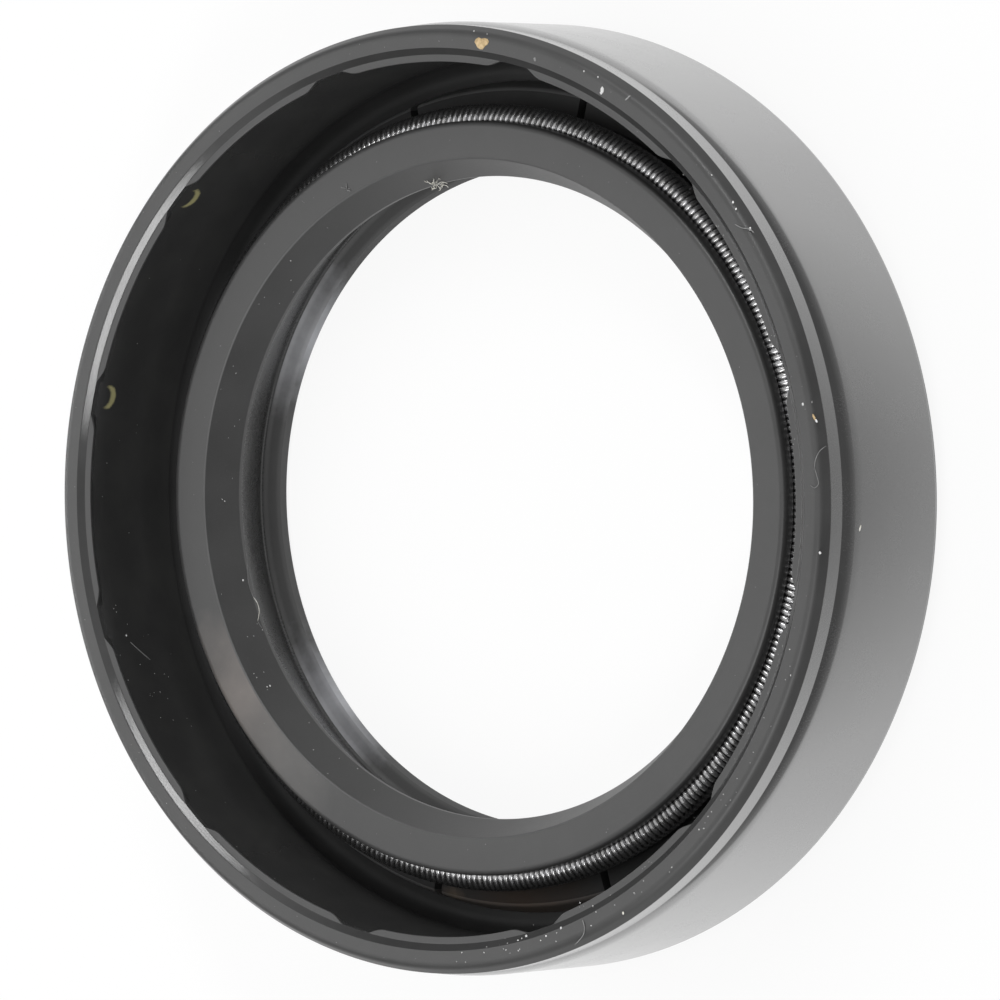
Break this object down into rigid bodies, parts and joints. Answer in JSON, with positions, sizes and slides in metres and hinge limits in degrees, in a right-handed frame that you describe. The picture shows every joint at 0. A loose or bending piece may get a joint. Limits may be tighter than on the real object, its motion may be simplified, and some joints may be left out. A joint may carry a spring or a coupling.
{
  "type": "radial shaft seal",
  "caption": "Round rubber-covered radial shaft seal with a spring-loaded sealing lip, a dust lip and a notched ledge inside its mouth.",
  "frame": {"origin": "centre of the back face, the air-side face that the seal lies on", "axes": "+Z along the shaft axis, towards the oil side and the open mouth; +X and +Y midway between neighbouring ledge notches"},
  "size_m": [0.045, 0.045, 0.01],
  "materials": {
    "nitrile_rubber": "satin",
    "coated_steel": "gloss",
    "spring_steel": "satin"
  },
  "bodies": {
    "root": {"rubber_body": "nitrile_rubber", "case_insert": "coated_steel", "garter_spring": "spring_steel"}
  },
  "joints": []
}
